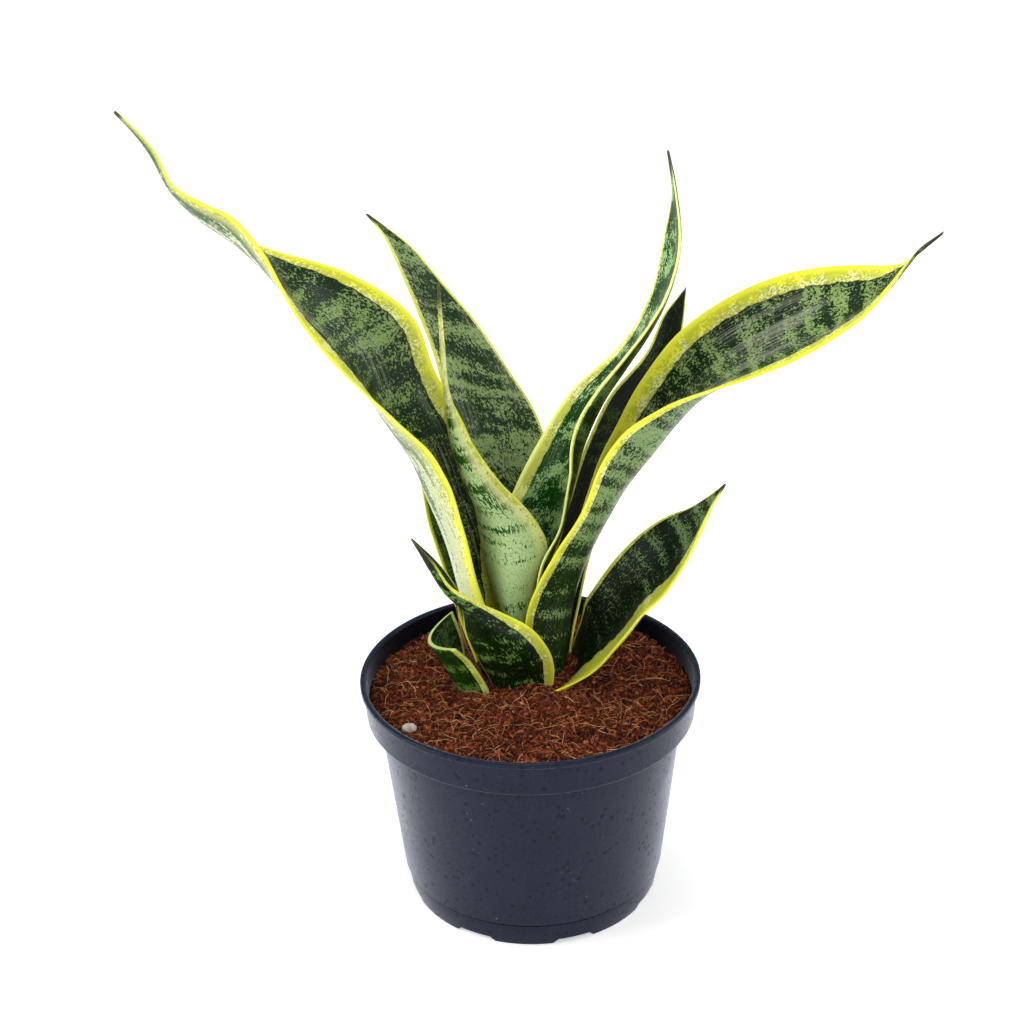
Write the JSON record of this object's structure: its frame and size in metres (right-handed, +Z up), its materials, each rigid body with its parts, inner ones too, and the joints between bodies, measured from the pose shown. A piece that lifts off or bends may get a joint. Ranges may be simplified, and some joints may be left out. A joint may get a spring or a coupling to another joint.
{
  "type": "potted snake plant",
  "caption": "Variegated snake plant with stiff, cupped, yellow-edged leaves, growing in a round black plastic nursery pot filled with potting mix.",
  "frame": {"origin": "middle of the plant's whole width and depth, in the plane that the pot stands on; the pot's own axis is 8 mm to the left of it, because the right leaf reaches further", "axes": "+Z up along the pot's axis; -Y towards the low front leaf; +X towards the broad arching leaf, -X towards the long twisted leaf"},
  "size_m": [0.3586, 0.17, 0.4053],
  "materials": {
    "pot_plastic": "satin black with small specks",
    "potting_mix": "crumbly coir, matt",
    "rhizome_skin": "matt",
    "leaf_green": "waxy, banded dark green with yellow margins",
    "dry_sheath": "dry and papery",
    "pale_stone": "matt"
  },
  "bodies": {
    "root": {"pot": "pot_plastic", "potting_mix": "potting_mix", "rhizome": "rhizome_skin", "leaf_long_left": "leaf_green", "leaf_back_left": "leaf_green", "leaf_centre": "leaf_green", "leaf_upright_right": "leaf_green", "leaf_back_right": "leaf_green", "leaf_broad_right": "leaf_green", "leaf_low_right": "leaf_green", "leaf_low_front": "leaf_green", "leaf_short_left": "leaf_green", "leaf_hidden_left": "leaf_green", "dry_sheath": "dry_sheath", "stone": "pale_stone"}
  },
  "joints": []
}
